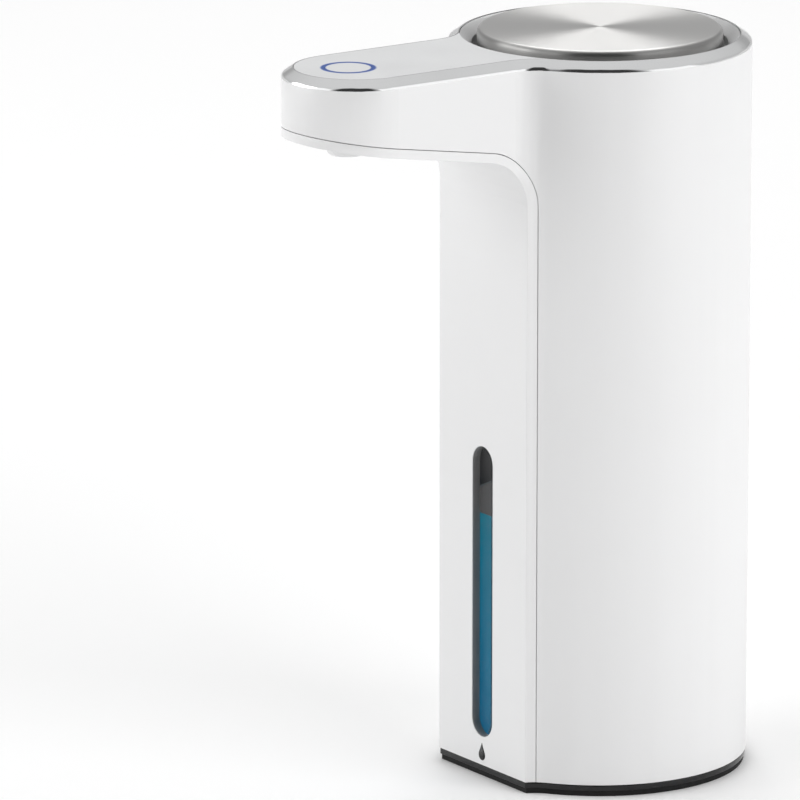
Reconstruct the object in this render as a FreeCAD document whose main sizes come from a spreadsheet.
import FreeCAD, Part
import math
import os
import Sketcher

# Touch-free soap dispenser. Origin: the column's axis at the surface it stands on.
# +Z is up and the spout points along -Y. All lengths are in millimetres.

Vector = FreeCAD.Vector
UP = Vector(0, 0, 1)
doc = FreeCAD.newDocument("soap_dispenser")
sheet = doc.addObject("Spreadsheet::Sheet", "Sheet")
finished = []


# ---------------------------------------------------------------- sizes and helpers

class Size(float):
    """A length together with the spreadsheet expression that gives it."""

    def __new__(cls, value, words):
        self = float.__new__(cls, value)
        self.words = words
        return self

    def __add__(self, other):
        return Size(float(self) + float(other), "(%s + %s)" % (self.words, words_of(other)))

    def __radd__(self, other):
        return Size(float(other) + float(self), "(%s + %s)" % (words_of(other), self.words))

    def __sub__(self, other):
        return Size(float(self) - float(other), "(%s - %s)" % (self.words, words_of(other)))

    def __rsub__(self, other):
        return Size(float(other) - float(self), "(%s - %s)" % (words_of(other), self.words))

    def __mul__(self, other):
        return Size(float(self) * float(other), "(%s * %s)" % (self.words, words_of(other)))

    def __rmul__(self, other):
        return Size(float(other) * float(self), "(%s * %s)" % (words_of(other), self.words))

    def __truediv__(self, other):
        return Size(float(self) / float(other), "(%s / %s)" % (self.words, words_of(other)))

    def __neg__(self):
        return Size(-float(self), "(0 - %s)" % self.words)


def words_of(value):
    return value.words if isinstance(value, Size) else repr(float(value))


def size(name, value):
    """Put one driving dimension in the sheet."""
    row = size.row
    size.row += 1
    sheet.set("A%d" % row, name)
    sheet.set("B%d" % row, str(value))
    sheet.setAlias("B%d" % row, name)
    return Size(value, "Sheet." + name)


size.row = 1


def bind(item, prop, value):
    if isinstance(value, Size):
        item.setExpression(prop, value.words)
    else:
        setattr(item, prop, float(value))


def place(item, x=0.0, y=0.0, z=0.0, rotation=None):
    spot = Vector(float(x), float(y), float(z))
    item.Placement = FreeCAD.Placement(spot, rotation or FreeCAD.Rotation())
    for axis, value in (("x", x), ("y", y), ("z", z)):
        if isinstance(value, Size):
            item.setExpression("Placement.Base." + axis, value.words)


def rod(radius, low, high, x=0.0, y=0.0):
    """Upright cylinder from height low to height high."""
    item = doc.addObject("Part::Cylinder", "Rod")
    bind(item, "Radius", radius)
    bind(item, "Height", high - low)
    place(item, x, y, low)
    return item


def rod_back(radius, x, y, z, length):
    """Cylinder that starts at a point and runs towards +Y."""
    item = doc.addObject("Part::Cylinder", "Rod")
    bind(item, "Radius", radius)
    bind(item, "Height", length)
    place(item, x, y, z, FreeCAD.Rotation(Vector(1, 0, 0), -90))
    return item


def cone_back(radius_start, radius_end, x, y, z, length):
    """Cone that starts at a point and runs towards +Y."""
    item = doc.addObject("Part::Cone", "Cone")
    bind(item, "Radius1", radius_start)
    bind(item, "Radius2", radius_end)
    bind(item, "Height", length)
    place(item, x, y, z, FreeCAD.Rotation(Vector(1, 0, 0), -90))
    return item


def block(low, high):
    """Box between two corners."""
    item = doc.addObject("Part::Box", "Block")
    for prop, start, end in zip(("Length", "Width", "Height"), low, high):
        bind(item, prop, end - start)
    place(item, *low)
    return item


def fuse(*items):
    if len(items) == 1:
        return items[0]
    item = doc.addObject("Part::MultiFuse", "Fuse")
    item.Shapes = list(items)
    return item


def cut(base, *tools):
    item = doc.addObject("Part::Cut", "Cut")
    item.Base = base
    item.Tool = fuse(*tools)
    return item


def common(first, second):
    item = doc.addObject("Part::MultiCommon", "Common")
    item.Shapes = [first, second]
    return item


def group(*items):
    """Separate solids that share one node."""
    item = doc.addObject("Part::Compound", "Group")
    item.Links = list(items)
    return item


def ring(outer, inner, low, high, x=0.0, y=0.0):
    return cut(rod(outer, low, high, x, y), rod(inner, low, high, x, y))


def finish(label, item):
    item.Label = label
    finished.append(item)
    return item


def around(radius, angles, x=0.0, y=0.0):
    """Points on a circle, one for each angle in degrees."""
    spots = []
    for angle in angles:
        turn = math.radians(angle)
        spots.append((x + radius * math.cos(turn), y + radius * math.sin(turn)))
    return spots


def plane_of(body, role):
    return [plane for plane in body.Origin.OriginFeatures if plane.Role == role][0]


def new_body(name):
    return doc.addObject("PartDesign::Body", name)


def new_sketch(body, role, level=0.0):
    """Sketch on an origin plane, moved along the plane's normal by level."""
    sketch = body.newObject("Sketcher::SketchObject", "Sketch")
    sketch.AttachmentSupport = (plane_of(body, role), "")
    sketch.MapMode = "FlatFace"
    sketch.AttachmentOffset = FreeCAD.Placement(Vector(0, 0, float(level)), FreeCAD.Rotation())
    if isinstance(level, Size):
        sketch.setExpression("AttachmentOffset.Base.z", level.words)
    return sketch


def rule(sketch, value, *words):
    """Dimension a sketch, bound to the sheet where the value comes from it."""
    number = sketch.addConstraint(Sketcher.Constraint(*words, float(value)))
    if isinstance(value, Size):
        sketch.setExpression("Constraints[%d]" % number, value.words)


def tie(sketch, *words):
    sketch.addConstraint(Sketcher.Constraint(*words))


def polygon(sketch, points):
    """Closed outline of straight lines with every corner dimensioned from the origin."""
    corners = [Vector(float(x), float(y), 0) for x, y in points]
    for start, end in zip(corners, corners[1:] + corners[:1]):
        sketch.addGeometry(Part.LineSegment(start, end), False)
    last = len(points) - 1
    for number, (x, y) in enumerate(points):
        tie(sketch, "Coincident", number - 1 if number else last, 2, number, 1)
        for kind, value, axis in (("DistanceX", x, -2), ("DistanceY", y, -1)):
            if float(value) == 0.0:
                tie(sketch, "PointOnObject", number, 1, axis)
            else:
                rule(sketch, value, kind, -1, 1, number, 1)


def circle(sketch, radius, x=0.0, y=0.0):
    sketch.addGeometry(Part.Circle(Vector(float(x), float(y), 0), UP, float(radius)), False)
    rule(sketch, radius, "Radius", 0)
    for kind, value, axis in (("DistanceX", x, -2), ("DistanceY", y, -1)):
        if float(value) == 0.0:
            tie(sketch, "PointOnObject", 0, 3, axis)
        else:
            rule(sketch, value, kind, -1, 1, 0, 3)


def pad(body, sketch, length):
    feature = body.newObject("PartDesign::Pad", "Pad")
    feature.Profile = sketch
    bind(feature, "Length", length)
    return feature


def pocket(body, sketch, length, both_ways=False):
    feature = body.newObject("PartDesign::Pocket", "Pocket")
    feature.Profile = sketch
    feature.SideType = "Symmetric" if both_ways else "One side"
    bind(feature, "Length", length)
    return feature


def revolve(name, points, x=0.0, y=0.0):
    """Turned piece: points are (radius, height) pairs."""
    body = new_body(name)
    sketch = new_sketch(body, "XZ_Plane")
    polygon(sketch, points)
    feature = body.newObject("PartDesign::Revolution", "Revolution")
    feature.Profile = sketch
    feature.ReferenceAxis = (sketch, ["V_Axis"])
    feature.Angle = 360
    place(body, x, y)
    return body


def round_edges(body, radius, chosen):
    """Fillet the edges of the body's last feature that pass the test."""
    doc.recompute()
    base = body.Tip
    names = []
    for number, edge in enumerate(base.Shape.Edges, 1):
        if chosen(edge.BoundBox):
            names.append("Edge%d" % number)
    feature = body.newObject("PartDesign::Fillet", "Fillet")
    feature.Base = (base, names)
    bind(feature, "Radius", radius)


# ---------------------------------------------------------------- driving dimensions

body_radius = size("body_radius", 40.5)
spout_half = size("spout_half", 19.6)
spout_reach = size("spout_reach", 78.0)
blend_radius = size("blend_radius", 10.0)
wall = size("wall_thickness", 2.0)
shell_foot = size("shell_foot", 3.2)
shell_top = size("shell_top", 196.9)
crest = size("crest_height", 199.5)
panel_depth = size("panel_depth", 37.6)
cover_thick = size("cover_thickness", 2.5)
corner_radius = size("corner_radius", 13.0)
corner_height = size("corner_height", 160.7)
seam_gap = size("seam_gap", 0.2)
bevel_width = size("bevel_width", 2.9)
bevel_height = size("bevel_height", 1.9)
trim_crest = size("trim_crest", 0.3)
foot_thick = size("foot_thickness", 1.4)
lid_radius = size("lid_radius", 32.7)
lid_top = size("lid_top", 201.0)
lid_round = size("lid_round", 1.5)
fill_bore = size("fill_bore", 29.5)
ledge_height = size("ledge_height", 193.0)
plug_foot = size("plug_foot", 187.5)
neck_radius = size("neck_radius", 14.0)
neck_wall = size("neck_wall", 1.4)
neck_back = size("neck_back", 15.5)
window_width = size("window_width", 9.4)
window_low = size("window_low", 11.1)
window_high = size("window_high", 91.4)
tank_radius = size("tank_radius", 37.6)
tank_front = size("tank_front", 34.4)
tank_wall = size("tank_wall", 1.8)
tank_top = size("tank_top", 101.0)
chassis_low = size("chassis_low", 110.0)
chassis_thick = size("chassis_thickness", 2.4)
pump_front = size("pump_front", 19.0)
pump_radius = size("pump_radius", 15.0)
pump_height = size("pump_height", 16.0)
track_radius = size("track_radius", 13.0)
hose_radius = size("hose_radius", 2.2)
hose_bore = size("hose_bore", 1.2)
roller_radius = size("roller_radius", 2.7)
roller_orbit = size("roller_orbit", 5.6)
shaft_radius = size("shaft_radius", 1.25)
pin_radius = size("pin_radius", 0.9)
button_front = size("button_front", 80.5)
light_radius = size("light_radius", 7.0)
light_width = size("light_width", 0.8)
button_travel = size("button_travel", 0.6)
nozzle_front = size("nozzle_front", 81.0)
nozzle_radius = size("nozzle_radius", 5.2)
nozzle_low = size("nozzle_low", 176.6)
nozzle_top = size("nozzle_top", 182.2)
board_low = size("board_low", 191.2)
board_top = size("board_top", 192.4)
sensor_front = size("sensor_front", 66.0)
battery_radius = size("battery_radius", 9.0)
battery_length = size("battery_length", 65.0)
battery_side = size("battery_side", 26.0)
battery_back = size("battery_back", 8.5)
bracket_half = size("bracket_half", 12.0)
bracket_low = size("bracket_low", 128.0)
bracket_tall = size("bracket_tall", 40.0)
bracket_thick = size("bracket_thickness", 3.2)
bracket_drop = size("bracket_drop", 14.0)
bracket_holes = size("bracket_holes", 28.0)
bracket_hole = size("bracket_hole", 2.1)
tongue_height = size("tongue_height", 12.0)
port_height = size("port_height", 177.0)
screw_radius = size("screw_radius", 1.2)
clearance = size("clearance", 0.1)
doc.recompute()

# BEYOND and OUTSIDE lie clear of the column, for tools that cut right through it.
BEYOND = 60.0
OUTSIDE = 42.0
UNDERSIDE_TILT = 9.37
BASE_SCREW_ANGLES = (40, 140, 220, 320)
CHASSIS_SCREW_ANGLES = (45, 135, 215, 325)
PUMP_EAR_ANGLES = (12, 168, 210, 330)
ROLLER_ANGLES = (90, 210, 330)

chassis_top = chassis_low + chassis_thick
corner_front = panel_depth + corner_radius
trim_inset = bevel_width + trim_crest
recess_radius = body_radius - trim_inset
collar_foot = shell_top - 10.4
seal_top = ledge_height + 0.6
tongue_low = bracket_low + bracket_drop
tongue_high = tongue_low + tongue_height
rail_inner = 36.4
rail_outer = 37.0
base_screw_spots = around(36.2, BASE_SCREW_ANGLES)
chassis_screw_spots = around(36.0, CHASSIS_SCREW_ANGLES)
board_spots = [(x, y) for x in (-10.2, 10.2) for y in (-88.0, -68.0)]


# ---------------------------------------------------------------- shared outlines

def plan_outline(body, inset, level):
    """Plan of the whole dispenser: a round column, a straight-sided spout with a round
    tip, and a hollow blend on each side where they meet."""
    sketch = new_sketch(body, "XY_Plane", level)
    column = body_radius - inset
    half = spout_half - inset
    blend = blend_radius + inset
    side = float(half + blend)
    front = -math.sqrt(float(column + blend) ** 2 - side ** 2)
    meeting = math.atan2(front, side)
    sketch.addGeometry([
        Part.ArcOfCircle(Part.Circle(Vector(), UP, float(column)), meeting, math.pi - meeting),
        Part.ArcOfCircle(Part.Circle(Vector(-side, front, 0), UP, float(blend)), 0.0, -meeting),
        Part.LineSegment(Vector(-half, front, 0), Vector(-half, -spout_reach, 0)),
        Part.ArcOfCircle(Part.Circle(Vector(0, -spout_reach, 0), UP, float(half)),
                         math.pi, 2 * math.pi),
        Part.LineSegment(Vector(half, -spout_reach, 0), Vector(half, front, 0)),
        Part.ArcOfCircle(Part.Circle(Vector(side, front, 0), UP, float(blend)),
                         math.pi + meeting, math.pi),
    ], False)
    tie(sketch, "Coincident", 0, 3, -1, 1)
    for words in ((0, 2, 1, 2), (1, 1, 2, 1), (2, 2, 3, 1), (3, 2, 4, 1), (4, 2, 5, 2), (5, 1, 0, 1)):
        tie(sketch, "Tangent", *words)
    tie(sketch, "Vertical", 2)
    tie(sketch, "Vertical", 4)
    tie(sketch, "PointOnObject", 3, 3, -2)
    rule(sketch, column, "Radius", 0)
    rule(sketch, half, "Radius", 3)
    rule(sketch, blend, "Radius", 1)
    rule(sketch, blend, "Radius", 5)
    rule(sketch, spout_reach, "DistanceY", 3, 3, -1, 1)
    return sketch


def under_spout(body, offset, inside):
    """Side profile of the front panel, the hollow corner and the spout's underside, moved
    into the body by offset. It closes behind and above the line when inside is true,
    otherwise in front of it and below."""
    sketch = new_sketch(body, "YZ_Plane")
    radius = corner_radius + offset
    tilt = math.radians(UNDERSIDE_TILT)
    centre = Vector(-float(corner_front), float(corner_height), 0)
    low = Vector(centre.x + float(radius), 0, 0)
    start = Vector(low.x, centre.y, 0)
    end = centre + Vector(math.sin(tilt), math.cos(tilt), 0) * float(radius)
    far = end + Vector(-math.cos(tilt), math.sin(tilt), 0) * 60.0
    if inside:
        rest = [Vector(far.x, 230, 0), Vector(60, 230, 0), Vector(60, 0, 0)]
    else:
        rest = [Vector(far.x, 0, 0)]
    corners = [far] + rest + [low]
    sketch.addGeometry(Part.LineSegment(low, start), False)
    sketch.addGeometry(Part.ArcOfCircle(Part.Circle(centre, UP, float(radius)),
                                        0.0, math.pi / 2 - tilt), False)
    sketch.addGeometry(Part.LineSegment(end, far), False)
    for start_corner, end_corner in zip(corners[:-1], corners[1:]):
        sketch.addGeometry(Part.LineSegment(start_corner, end_corner), False)
    last = len(corners) + 1
    tie(sketch, "Tangent", 0, 2, 1, 1)
    tie(sketch, "Tangent", 1, 2, 2, 1)
    for number in range(2, last):
        tie(sketch, "Coincident", number, 2, number + 1, 1)
    tie(sketch, "Coincident", last, 2, 0, 1)
    tie(sketch, "Vertical", 0)
    tie(sketch, "Vertical", 3)
    tie(sketch, "PointOnObject", 0, 1, -1)
    tie(sketch, "Horizontal", last)
    if inside:
        tie(sketch, "Horizontal", 4)
        tie(sketch, "Vertical", 5)
        rule(sketch, 230.0, "DistanceY", -1, 1, 4, 1)
        rule(sketch, 60.0, "DistanceX", -1, 1, 5, 1)
    rule(sketch, radius, "Radius", 1)
    rule(sketch, corner_front, "DistanceX", 1, 3, -1, 1)
    rule(sketch, corner_height, "DistanceY", -1, 1, 1, 3)
    rule(sketch, -far.x, "DistanceX", 2, 2, -1, 1)
    rule(sketch, far.y, "DistanceY", -1, 1, 2, 2)
    return sketch


def seam_height(front):
    """Height of the seam on the spout's side at a distance in front of the axis."""
    tilt = math.radians(UNDERSIDE_TILT)
    radius = float(corner_radius + cover_thick)
    middle = float(corner_height) + radius / math.cos(tilt)
    return middle + (float(front) - float(corner_front)) * math.tan(tilt)


def dee(radius, front, low, high):
    """Round plate or block with a flat across its front."""
    return cut(rod(radius, low, high), block((-BEYOND, -BEYOND, low), (BEYOND, -front, high)))


def obround(width, low, high, front, back):
    """Upright slot-shaped block in the front panel, between two distances from the axis."""
    half = width / 2
    middle = block((-half, -front, low + half), (half, -back, high - half))
    foot = rod_back(half, 0.0, -front, low + half, front - back)
    head = rod_back(half, 0.0, -front, high - half, front - back)
    return fuse(middle, foot, head)


def hose(radius, bore, points, bends):
    """Round tube of straight runs joined by tangent arcs."""
    corners = [Vector(*[float(value) for value in point]) for point in points]
    edges = []
    start = corners[0]
    for before, corner, after, bend in zip(corners, corners[1:], corners[2:], bends):
        back = (before - corner).normalize()
        ahead = (after - corner).normalize()
        half_angle = back.getAngle(ahead) / 2
        reach = bend / math.tan(half_angle)
        first = corner + back * reach
        last = corner + ahead * reach
        inward = (back + ahead).normalize()
        middle = corner + inward * (bend / math.sin(half_angle) - bend)
        if start.distanceToPoint(first) > 0.01:
            edges.append(Part.LineSegment(start, first).toShape())
        edges.append(Part.Arc(first, middle, last).toShape())
        start = last
    edges.append(Part.LineSegment(start, corners[-1]).toShape())
    path = Part.Wire(edges)
    solids = []
    for value in (radius, bore):
        disc = Part.Wire(Part.makeCircle(float(value), corners[0], corners[1] - corners[0]))
        solids.append(path.makePipeShell([disc], True, False))
    item = doc.addObject("Part::Feature", "Hose")
    item.Shape = solids[0].cut(solids[1])
    return item


# ---------------------------------------------------------------- casing

def outer_shell():
    body = new_body("ShellBody")
    pad(body, plan_outline(body, 0.0, shell_foot), shell_top - shell_foot)
    pocket(body, plan_outline(body, wall, shell_top), shell_top - shell_foot)
    pocket(body, under_spout(body, cover_thick + seam_gap, False), 2 * BEYOND, True)
    boss_foot = chassis_low - 3.5
    bosses = [rod(2.6, shell_foot, 13.0, x, y) for x, y in base_screw_spots]
    ledges = [rod(3.0, boss_foot, chassis_low, x, y) for x, y in chassis_screw_spots]
    holes = [rod(screw_radius + 0.05, shell_foot, 12.0, x, y) for x, y in base_screw_spots]
    holes += [rod(screw_radius + 0.05, boss_foot, chassis_low, x, y) for x, y in chassis_screw_spots]
    half = bracket_half + 0.6
    low = bracket_low - bracket_drop - 0.2
    high = bracket_low + bracket_tall + 2.0
    floor = 34.5
    liner = common(block((-half - 1.5, floor - 1.5, low - 1.2), (half + 1.5, OUTSIDE, high + 1.5)),
                   rod(body_radius - 1.0, low - 1.2, high + 1.5))
    recess = block((-half, floor, low), (half, OUTSIDE, high))
    port = block((-4.8, 37.0, port_height - 1.9), (4.8, OUTSIDE, port_height + 1.9))
    port_recess = block((-7.0, 39.3, port_height - 5.0), (7.0, OUTSIDE, port_height + 4.0))
    rails = []
    for side in (-1, 1):
        inner, outer = sorted((side * 6.4, side * half))
        rails.append(block((inner, rail_inner, tongue_low), (outer, rail_outer, tongue_high)))
    stop = block((-half, floor, tongue_high + 0.2), (half, rail_outer, tongue_high + 3.0))
    hollowed = cut(fuse(body, liner, *(bosses + ledges)), recess, port, port_recess, *holes)
    return fuse(hollowed, stop, *rails)


def front_cover():
    body = new_body("CoverBody")
    pad(body, plan_outline(body, 0.0, shell_foot), plug_foot - shell_foot)
    pocket(body, under_spout(body, 0.0, False), 2 * BEYOND, True)
    pocket(body, under_spout(body, cover_thick, True), 2 * BEYOND, True)
    window = obround(window_width, window_low, window_high, panel_depth + 1.0, panel_depth - 4.0)
    spout_hole = rod(nozzle_radius + clearance, nozzle_low - 5.0, nozzle_top + 5.0, 0.0, -nozzle_front)
    sensor_hole = rod(4.1, -12.0, 12.0)
    tilt_about(sensor_hole, sensor_front, 12.0)
    return cut(body, window, spout_hole, sensor_hole)


def tilt_about(item, front, below):
    """Stand a piece square to the spout's underside, its foot below the seam by a distance."""
    turn = FreeCAD.Rotation(Vector(1, 0, 0), -UNDERSIDE_TILT)
    spot = Vector(0, -float(front), seam_height(front))
    item.Placement = FreeCAD.Placement(spot + turn.multVec(Vector(0, 0, -below)), turn)


def window_lens():
    width = window_width - 2 * clearance
    outer = obround(width, window_low + clearance, window_high - clearance,
                    panel_depth - 0.15, tank_front + 0.05)
    rim = 0.8
    inner = obround(width - 2 * rim, window_low + rim, window_high - rim,
                    panel_depth + 1.0, tank_front + 1.2)
    return cut(outer, inner)


def top_deck():
    body = new_body("DeckBody")
    deck_foot = crest - 2.2
    pad(body, plan_outline(body, trim_inset + clearance, deck_foot), crest - deck_foot)
    posts = [rod(1.8, board_top, deck_foot + 0.5, x, y) for x, y in board_spots]
    holes = [rod(0.65, board_top, board_top + 3.6, x, y) for x, y in board_spots]
    return cut(fuse(body, *posts), rod(recess_radius, board_top, lid_top),
               rod(light_radius + 0.02, board_top, lid_top, 0.0, -button_front), *holes)


def chrome_trim():
    body = new_body("TrimBody")
    bevel_foot = crest - bevel_height
    pad(body, plan_outline(body, 0.0, shell_top), bevel_foot - shell_top)
    bevel = body.newObject("PartDesign::AdditiveLoft", "Bevel")
    bevel.Profile = plan_outline(body, 0.0, bevel_foot)
    bevel.Sections = [plan_outline(body, bevel_width, crest)]
    bevel.Ruled = True
    pocket(body, plan_outline(body, trim_inset, crest), crest - shell_top)
    return body


def base_outline(name, inset, low, high):
    body = new_body(name)
    pad(body, plan_outline(body, inset, low), high - low)
    return cut(body, block((-BEYOND, -2 * BEYOND, low), (BEYOND, -panel_depth + inset, high)))


def base_plate():
    plate = base_outline("BaseBody", 0.2, foot_thick, shell_foot)
    holes = [rod(screw_radius + 0.1, foot_thick, shell_foot, x, y) for x, y in base_screw_spots]
    seats = [rod(2.4, foot_thick, foot_thick + 1.1, x, y) for x, y in base_screw_spots]
    return cut(plate, *(holes + seats))


def screws(spots, radius, head, tip, head_foot, head_top):
    """Identical screws: head between two heights, shank from the tip to the head."""
    items = []
    for x, y in spots:
        shank_low, shank_high = sorted((tip, head_top))
        items.append(fuse(rod(radius, shank_low, shank_high, x, y),
                          rod(head, *sorted((head_foot, head_top)), x, y)))
    return group(*items)


# ---------------------------------------------------------------- filling side and tank

def fill_collar():
    lip = recess_radius - clearance
    outer = body_radius - wall - 0.2
    inner = fill_bore
    foot = collar_foot
    rim = lid_radius + 1.3
    return revolve("CollarBody", [
        (inner, ledge_height), (inner, foot), (inner + 2.0, foot), (inner + 2.0, foot + 4.5),
        (outer - 2.0, foot + 4.5), (outer - 2.0, foot), (outer, foot),
        (outer, shell_top - clearance), (lip, shell_top - clearance), (lip, crest - clearance),
        (rim, crest - 2.5), (rim, ledge_height)])


def fill_funnel():
    body = new_body("FunnelBody")
    top = collar_foot
    throat = top - 9.4
    foot = tank_top - 1.0
    wide = new_sketch(body, "XY_Plane", top)
    circle(wide, fill_bore + 1.8)
    narrow = new_sketch(body, "XY_Plane", throat)
    circle(narrow, neck_radius, 0.0, neck_back)
    outside = body.newObject("PartDesign::AdditiveLoft", "Outside")
    outside.Profile = wide
    outside.Sections = [narrow]
    outside.Ruled = True
    tube = new_sketch(body, "XY_Plane", foot)
    circle(tube, neck_radius, 0.0, neck_back)
    pad(body, tube, throat - foot + 0.01)
    wide_hole = new_sketch(body, "XY_Plane", top)
    circle(wide_hole, fill_bore)
    narrow_hole = new_sketch(body, "XY_Plane", throat + 1.0)
    circle(narrow_hole, neck_radius - neck_wall, 0.0, neck_back)
    inside = body.newObject("PartDesign::SubtractiveLoft", "Inside")
    inside.Profile = wide_hole
    inside.Sections = [narrow_hole]
    inside.Ruled = True
    bore = new_sketch(body, "XY_Plane", throat + 1.01)
    circle(bore, neck_radius - neck_wall, 0.0, neck_back)
    pocket(body, bore, throat + 1.01 - foot)
    return body


def tank():
    low = shell_foot + 0.2
    outer = dee(tank_radius, tank_front, low, tank_top)
    notches = [rod(3.0, low, 13.4, x, y) for x, y in base_screw_spots]
    inner = dee(tank_radius - tank_wall, tank_front - tank_wall, low + tank_wall, tank_top)
    walls = [rod(3.0 + tank_wall, low, 13.4 + tank_wall, x, y) for x, y in base_screw_spots]
    return cut(cut(outer, *notches), cut(inner, *walls))


def tank_gasket():
    low = tank_top
    high = tank_top + 0.8
    return cut(dee(tank_radius, tank_front, low, high),
               dee(tank_radius - tank_wall, tank_front - tank_wall, low, high))


def tank_cover():
    low = tank_top + 0.8
    high = low + 3.0
    hole = rod(neck_radius + clearance, low, high, 0.0, neck_back)
    tube_hole = rod(hose_radius + clearance, low, high, -leg_side, leg_back)
    vent = rod(0.8, low, high, 20.0, 20.0)
    return cut(dee(tank_radius, tank_front, low, high), hole, tube_hole, vent)


def dip_strainer():
    cup = rod(3.6, shell_foot + 2.6, shell_foot + 7.6, -leg_side, leg_back)
    bore = rod(hose_radius + 0.05, shell_foot + 3.8, shell_foot + 7.6, -leg_side, leg_back)
    slots = []
    for lift in (0.0, 1.0):
        low = shell_foot + 4.2 + 1.4 * lift
        slots.append(block((-leg_side - 4.0, leg_back - 0.4, low),
                           (-leg_side + 4.0, leg_back + 0.4, low + 0.8)))
    drain = rod(1.0, shell_foot + 2.6, shell_foot + 3.8, -leg_side, leg_back)
    return cut(cup, bore, drain, *slots)


def lid_disc():
    edge = lid_radius
    skirt = lid_top - 4.8
    body = revolve("LidBody", [(0.0, lid_top), (edge, lid_top), (edge, skirt), (edge - 0.9, skirt),
                               (edge - 0.9, lid_top - 0.9), (0.0, lid_top - 0.9)])
    rim = float(edge)
    top = float(lid_top) - 0.01
    round_edges(body, lid_round, lambda box: box.ZMin > top and abs(box.XMax - rim) < 0.01)
    return body


def lid_carrier():
    flange = lid_radius - 1.0
    plug = fill_bore - 0.3
    return revolve("CarrierBody", [
        (0.0, lid_top - 1.0), (flange, lid_top - 1.0), (flange, seal_top), (plug, seal_top),
        (plug, plug_foot), (plug - 1.5, plug_foot), (plug - 1.5, lid_top - 2.6), (0.0, lid_top - 2.6)])


# ---------------------------------------------------------------- pump

leg_side = track_radius - hose_radius
leg_back = 0.5
hose_level = chassis_top + 8.6
hose_end = 8.4
ear_spots = around(16.5, PUMP_EAR_ANGLES, 0.0, -float(pump_front))
roller_spots = around(float(roller_orbit), ROLLER_ANGLES, 0.0, -float(pump_front))
pump_floor = chassis_top + 2.0
pump_top = chassis_top + pump_height


def chassis():
    low, high = chassis_low, chassis_top
    plate = dee(body_radius - wall - 0.5, panel_depth - cover_thick - 0.6, low, high)
    posts = [block((-34.0, y, high), (-29.0, y + 5.0, high + 9.0)) for y in (-17.0, 12.0)]
    slot = block((-32.3, -15.1, high + 0.6), (-30.5, 15.1, high + 9.0))
    tools = [rod(neck_radius + 0.3, low, high, 0.0, neck_back),
             rod(hose_radius + 0.3, low, high, -leg_side, leg_back), slot]
    tools += [rod(screw_radius + 0.1, low, high, x, y) for x, y in chassis_screw_spots]
    return cut(fuse(plate, *posts), *tools)


def pump_housing():
    low, high = chassis_top, pump_top
    body = rod(pump_radius, low, high, 0.0, -pump_front)
    ears = [rod(2.4, low, high, x, y) for x, y in ear_spots]
    cavity = rod(track_radius, pump_floor, high, 0.0, -pump_front)
    legs = []
    for side in (-1, 1):
        left, right = sorted((side * leg_side - 2.3, side * leg_side + 2.3))
        legs.append(block((left, -pump_front, hose_level - 2.3), (right, 0.0, high)))
    holes = [rod(1.05, low + 5.0, high, x, y) for x, y in ear_spots]
    return cut(fuse(body, *ears), cavity, *(legs + holes))


def pump_cover():
    low, high = pump_top, pump_top + 2.0
    plate = fuse(rod(pump_radius, low, high, 0.0, -pump_front),
                 *[rod(2.4, low, high, x, y) for x, y in ear_spots])
    holes = [rod(1.05, low, high, x, y) for x, y in ear_spots]
    return cut(plate, rod(shaft_radius + 0.25, low, high, 0.0, -pump_front), *holes)


def pump_tube():
    """Inlet up from the tank, once round the pump's track, then up towards the spout."""
    side = float(leg_side)
    back = leg_back
    front = -float(pump_front)
    level = float(hose_level)
    reach = 5.0
    start = Vector(-side, back, level - hose_end)
    turn = math.sqrt(0.5)
    below = Vector(-side, back - reach, level - reach)
    above = Vector(side, back - reach, level + reach)
    edges = [
        Part.LineSegment(start, Vector(-side, back, level - reach)).toShape(),
        Part.Arc(Vector(-side, back, level - reach), below + Vector(0, turn, turn) * reach,
                 Vector(-side, back - reach, level)).toShape(),
        Part.LineSegment(Vector(-side, back - reach, level), Vector(-side, front, level)).toShape(),
        Part.Arc(Vector(-side, front, level), Vector(0, front - side, level),
                 Vector(side, front, level)).toShape(),
        Part.LineSegment(Vector(side, front, level), Vector(side, back - reach, level)).toShape(),
        Part.Arc(Vector(side, back - reach, level), above + Vector(0, turn, -turn) * reach,
                 Vector(side, back, level + reach)).toShape(),
        Part.LineSegment(Vector(side, back, level + reach), Vector(side, back, level + hose_end)).toShape(),
    ]
    path = Part.Wire(edges)
    solids = []
    for radius in (hose_radius, hose_bore):
        disc = Part.Wire(Part.makeCircle(float(radius), start, UP))
        solids.append(path.makePipeShell([disc], True, False))
    item = doc.addObject("Part::Feature", "PumpHose")
    item.Shape = solids[0].cut(solids[1])
    return item


def pump_rotor():
    low = pump_floor + 0.4
    high = pump_top - 0.6
    discs = [rod(7.6, low, low + 1.6, 0.0, -pump_front), rod(7.6, high - 1.6, high, 0.0, -pump_front)]
    hub = rod(roller_orbit - roller_radius - 0.4, low, high, 0.0, -pump_front)
    holes = [rod(pin_radius + 0.01, low, high, x, y) for x, y in roller_spots]
    bore = rod(shaft_radius + 0.01, low, high, 0.0, -pump_front)
    return cut(fuse(hub, *discs), bore, *holes)


def roller(x, y):
    low = pump_floor + 2.2
    high = pump_top - 2.4
    return ring(roller_radius, pin_radius + 0.06, low, high, x, y)


def pump_gearbox():
    low = pump_top + 2.0
    body = rod(10.0, low, low + 16.0, 0.0, -pump_front)
    return cut(body, rod(shaft_radius + 0.05, low, low + 8.0, 0.0, -pump_front))


def pump_motor():
    low = pump_top + 18.0
    can = rod(12.0, low, low + 22.0, 0.0, -pump_front)
    boss = rod(4.0, low + 22.0, low + 23.6, 0.0, -pump_front)
    tabs = [block((x - 0.9, -pump_front + 5.6, low + 22.0), (x + 0.9, -pump_front + 6.1, low + 25.0))
            for x in (-5.0, 5.0)]
    return fuse(can, boss, *tabs)


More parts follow.
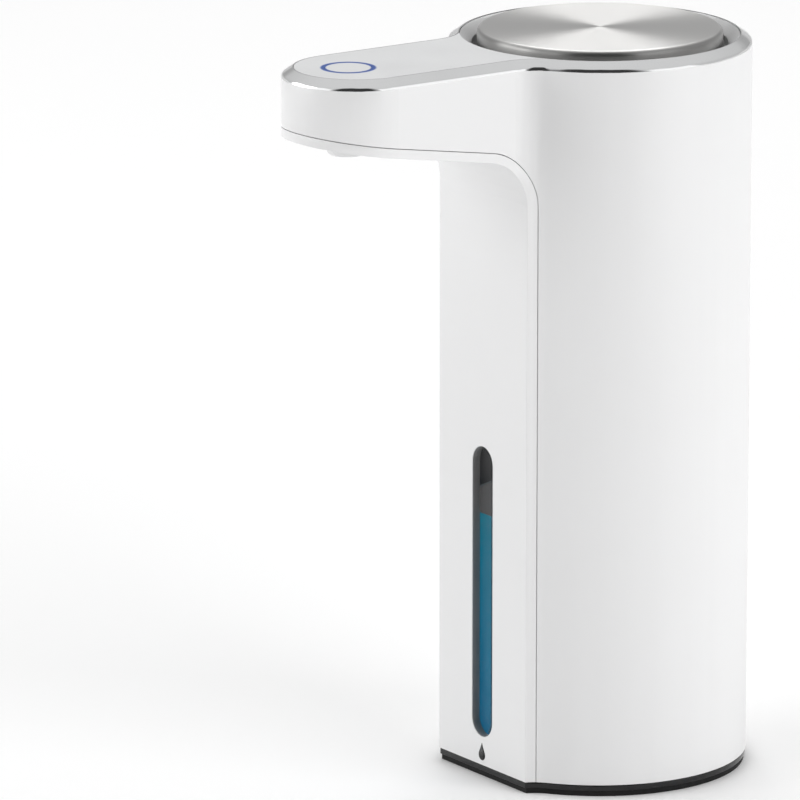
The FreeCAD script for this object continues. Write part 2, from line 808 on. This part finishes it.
def outlet_tube():
    """Up from the pump, forward under the funnel, up along the spout and down to the nozzle."""
    side = leg_side
    start = hose_level + hose_end
    level = nozzle_low - 0.3
    return hose(hose_radius, hose_bore, [
        (side, leg_back, start), (side, leg_back, level), (side, -34.0, level),
        (side - 0.4, -56.0, level + 4.9), (side - 1.8, -70.0, level + 8.7),
        (0.0, -nozzle_front, nozzle_top + 6.3), (0.0, -nozzle_front, nozzle_top + 0.05)],
        (12.0, 30.0, 25.0, 12.0, 4.8))


# ---------------------------------------------------------------- spout

def nozzle():
    seat = nozzle_low + 3.4
    return revolve("NozzleBody", [
        (hose_bore, nozzle_top), (hose_bore, seat), (3.3, seat), (3.3, nozzle_low),
        (nozzle_radius - 0.6, nozzle_low), (nozzle_radius, nozzle_low + 0.6),
        (nozzle_radius, nozzle_top)], 0.0, -nozzle_front)


def nozzle_valve():
    low = nozzle_low + 0.7
    top = nozzle_low + 3.4
    body = revolve("ValveBody", [(0.0, top), (3.2, top), (3.2, top - 1.0), (1.6, low), (0.0, low)],
                   0.0, -nozzle_front)
    slit = block((-1.2, -nozzle_front - 0.15, low), (1.2, -nozzle_front + 0.15, top))
    return cut(body, slit)


def sensor_window():
    lens = rod(4.0, 0.0, 2.4)
    tilt_about(lens, sensor_front, float(cover_thick) - 0.1)
    return lens


def ir_leds():
    leds = []
    for side in (-2.0, 2.0):
        led = rod(1.4, 0.0, 2.6)
        tilt_about(led, sensor_front, 0.0)
        led.Placement.Base.x = side
        leds.append(led)
    return group(*leds)


def sensor_board():
    board = block((-12.0, -6.0, 0.0), (6.0, 6.0, 1.2))
    turn = FreeCAD.Rotation(Vector(1, 0, 0), -UNDERSIDE_TILT)
    spot = Vector(0, -float(sensor_front), seam_height(sensor_front))
    item = doc.addObject("Part::Compound", "Board")
    item.Links = [board]
    item.Placement = FreeCAD.Placement(spot + turn.multVec(Vector(0, 0, 2.6)), turn)
    return item


def power_button():
    radius = light_radius - light_width - 0.1
    cap = rod(radius, crest - 2.4, crest, 0.0, -button_front)
    stem = rod(2.0, board_top + 2.0 + button_travel, crest - 2.4, 0.0, -button_front)
    return fuse(cap, stem)


def tact_switch():
    case = block((-3.0, -button_front - 3.0, board_top), (3.0, -button_front + 3.0, board_top + 1.4))
    plunger = rod(1.2, board_top + 1.4, board_top + 2.0, 0.0, -button_front)
    return fuse(case, plunger)


def ring_leds():
    leds = []
    for x, y in around(float(light_radius) - 0.4, (45, 135, 225, 315), 0.0, -float(button_front)):
        leds.append(block((x - 0.8, y - 0.8, board_top), (x + 0.8, y + 0.8, board_top + 0.7)))
    return group(*leds)


def button_board():
    board = block((-12.0, -90.0, board_low), (12.0, -65.5, board_top))
    return cut(board, *[rod(0.9, board_low, board_top, x, y) for x, y in board_spots])


# ---------------------------------------------------------------- power and control

def battery_cradle():
    low = chassis_top
    outer = rod(battery_radius + 1.3, low, low + 30.0, battery_side, battery_back)
    inner = rod(battery_radius + 0.1, low + 1.2, low + 30.0, battery_side, battery_back)
    gap = block((battery_side - 3.5, battery_back - 12.0, low + 6.0),
                (battery_side + 3.5, battery_back, low + 30.0))
    return cut(outer, inner, gap)


def battery():
    low = chassis_top + 1.6
    can = rod(battery_radius, low, low + battery_length - 1.2, battery_side, battery_back)
    cap = rod(3.0, low + battery_length - 1.2, low + battery_length, battery_side, battery_back)
    return fuse(can, cap)


def battery_contacts():
    low = chassis_top + 1.2
    top = low + 0.4 + battery_length
    foot = rod(5.0, low, low + 0.4, battery_side, battery_back)
    head = block((battery_side - 2.5, battery_back - 2.5, top),
                 (battery_side + 2.5, battery_back + 2.5, top + 0.4))
    return group(foot, head)


def main_board():
    low = chassis_top + 0.7
    return block((-32.2, -15.0, low), (-30.6, 15.0, low + 50.0))


def board_components():
    """Controller, charger, coil, driver and the three plugs on the main board."""
    low = float(chassis_top)
    chips = [(-4.0, 30.0, 7.0, 7.0, 1.0), (6.0, 28.0, 4.0, 5.0, 1.2), (-10.0, 16.0, 5.0, 5.0, 3.0),
             (4.0, 16.0, 5.0, 4.0, 1.4), (-11.0, 42.0, 8.0, 5.0, 4.2), (-1.0, 42.0, 6.0, 5.0, 4.2),
             (7.0, 42.0, 6.0, 5.0, 4.2)]
    items = []
    for y, rise, wide, tall, thick in chips:
        items.append(block((-30.6, y, low + rise), (-30.6 + thick, y + wide, low + rise + tall)))
    return group(*items)


def usb_port():
    low, high = port_height - 1.6, port_height + 1.6
    shell = block((-4.5, 31.6, low), (4.5, 38.8, high))
    mouth = block((-4.2, 33.0, low + 0.35), (4.2, 38.8, high - 0.35))
    tongue = block((-3.3, 33.0, port_height - 0.35), (3.3, 38.2, port_height + 0.35))
    return fuse(cut(shell, mouth), tongue)


def usb_board():
    high = port_height - 1.6
    return block((-9.0, 31.0, high - 1.2), (9.0, 36.4, high))


def port_plug():
    low, high = port_height - 4.6, port_height + 3.6
    cap = common(block((-6.7, 39.4, low), (6.7, OUTSIDE, high)), rod(body_radius - 0.1, low, high))
    stub = block((-4.3, 38.95, port_height - 1.4), (4.3, 39.4, port_height + 1.4))
    return fuse(cap, stub)


def wall_bracket():
    face = body_radius
    inner = face - bracket_thick
    high = bracket_low + bracket_tall
    plate = block((-bracket_half, inner, bracket_low), (bracket_half, face, high))
    head_back = rail_inner - 0.3
    neck = block((-6.0, head_back, tongue_low), (6.0, inner, tongue_high))
    head = block((-9.0, head_back - 1.1, tongue_low), (9.0, head_back, tongue_high))
    middle = bracket_low + bracket_tall / 2
    tools = []
    for side in (-1, 1):
        z = middle + side * bracket_holes / 2
        tools.append(rod_back(bracket_hole, 0.0, inner, z, bracket_thick))
        tools.append(cone_back(bracket_hole * 2, bracket_hole, 0.0, inner, z, bracket_hole))
    return cut(fuse(plate, neck, head), *tools)


# ---------------------------------------------------------------- the assembly

finish("outer_shell", outer_shell())
finish("front_cover", front_cover())
finish("window_lens", window_lens())
finish("top_deck", top_deck())
finish("chrome_trim", chrome_trim())
finish("base_plate", base_plate())
finish("foot_pad", base_outline("PadBody", 0.6, 0.0, foot_thick))
finish("base_screws", screws(base_screw_spots, screw_radius, 2.2, 11.0, foot_thick, foot_thick + 1.1))

finish("fill_collar", fill_collar())
finish("fill_funnel", fill_funnel())
finish("funnel_seal", ring(neck_radius + 1.9, neck_radius + 0.05, tank_top + 3.8, tank_top + 5.8,
                           0.0, neck_back))
finish("tank", tank())
finish("tank_gasket", tank_gasket())
finish("tank_cover", tank_cover())
finish("dip_tube", ring(hose_radius, hose_bore, shell_foot + 5.0, hose_level - hose_end,
                        -leg_side, leg_back))
finish("dip_strainer", dip_strainer())
finish("lid_disc", lid_disc())
finish("lid_carrier", lid_carrier())
finish("lid_seal", ring(lid_radius - 1.2, fill_bore + 0.3, ledge_height, seal_top))

finish("chassis", chassis())
finish("chassis_screws", screws(chassis_screw_spots, screw_radius, 2.0, chassis_low - 3.0, chassis_top,
                                chassis_top + 1.4))
finish("pump_housing", pump_housing())
finish("pump_cover", pump_cover())
finish("pump_screws", screws(ear_spots, 1.0, 1.9, pump_top - 8.0, pump_top + 2.0, pump_top + 3.2))
finish("pump_tube", pump_tube())
finish("pump_rotor", pump_rotor())
finish("roller_pins", group(*[rod(pin_radius, pump_floor + 0.4, pump_top - 0.6, x, y)
                              for x, y in roller_spots]))
for number, (x, y) in enumerate(roller_spots, 1):
    finish("roller_%d" % number, roller(x, y))
finish("drive_shaft", rod(shaft_radius, pump_floor + 0.4, pump_top + 9.0, 0.0, -pump_front))
finish("pump_gearbox", pump_gearbox())
finish("pump_motor", pump_motor())
finish("outlet_tube", outlet_tube())

finish("nozzle", nozzle())
finish("nozzle_valve", nozzle_valve())
finish("sensor_window", sensor_window())
finish("ir_leds", ir_leds())
finish("sensor_board", sensor_board())
finish("light_ring", ring(light_radius, light_radius - light_width, board_top + 1.0, crest,
                          0.0, -button_front))
finish("ring_leds", ring_leds())
finish("power_button", power_button())
finish("tact_switch", tact_switch())
finish("button_board", button_board())
finish("board_screws", screws(board_spots, 0.6, 1.3, 195.6, board_low - 0.8, board_low))

finish("battery", battery())
finish("battery_cradle", battery_cradle())
finish("battery_contacts", battery_contacts())
finish("main_board", main_board())
finish("board_components", board_components())
finish("usb_port", usb_port())
finish("usb_board", usb_board())
finish("port_plug", port_plug())
finish("wall_bracket", wall_bracket())

doc.recompute()
for item in doc.Objects:
    if "Invalid" in item.State or "Error" in item.State:
        raise RuntimeError("%s did not compute: %s" % (item.Label, item.State))
for item in finished:
    if item.Shape.isNull() or not item.Shape.isValid():
        raise RuntimeError("%s has no valid shape" % item.Label)

os.makedirs("parts", exist_ok=True)
for item in finished:
    item.Shape.exportStep("parts/%s.step" % item.Label)
    print(item.Label, len(item.Shape.Solids), round(item.Shape.Volume, 1))
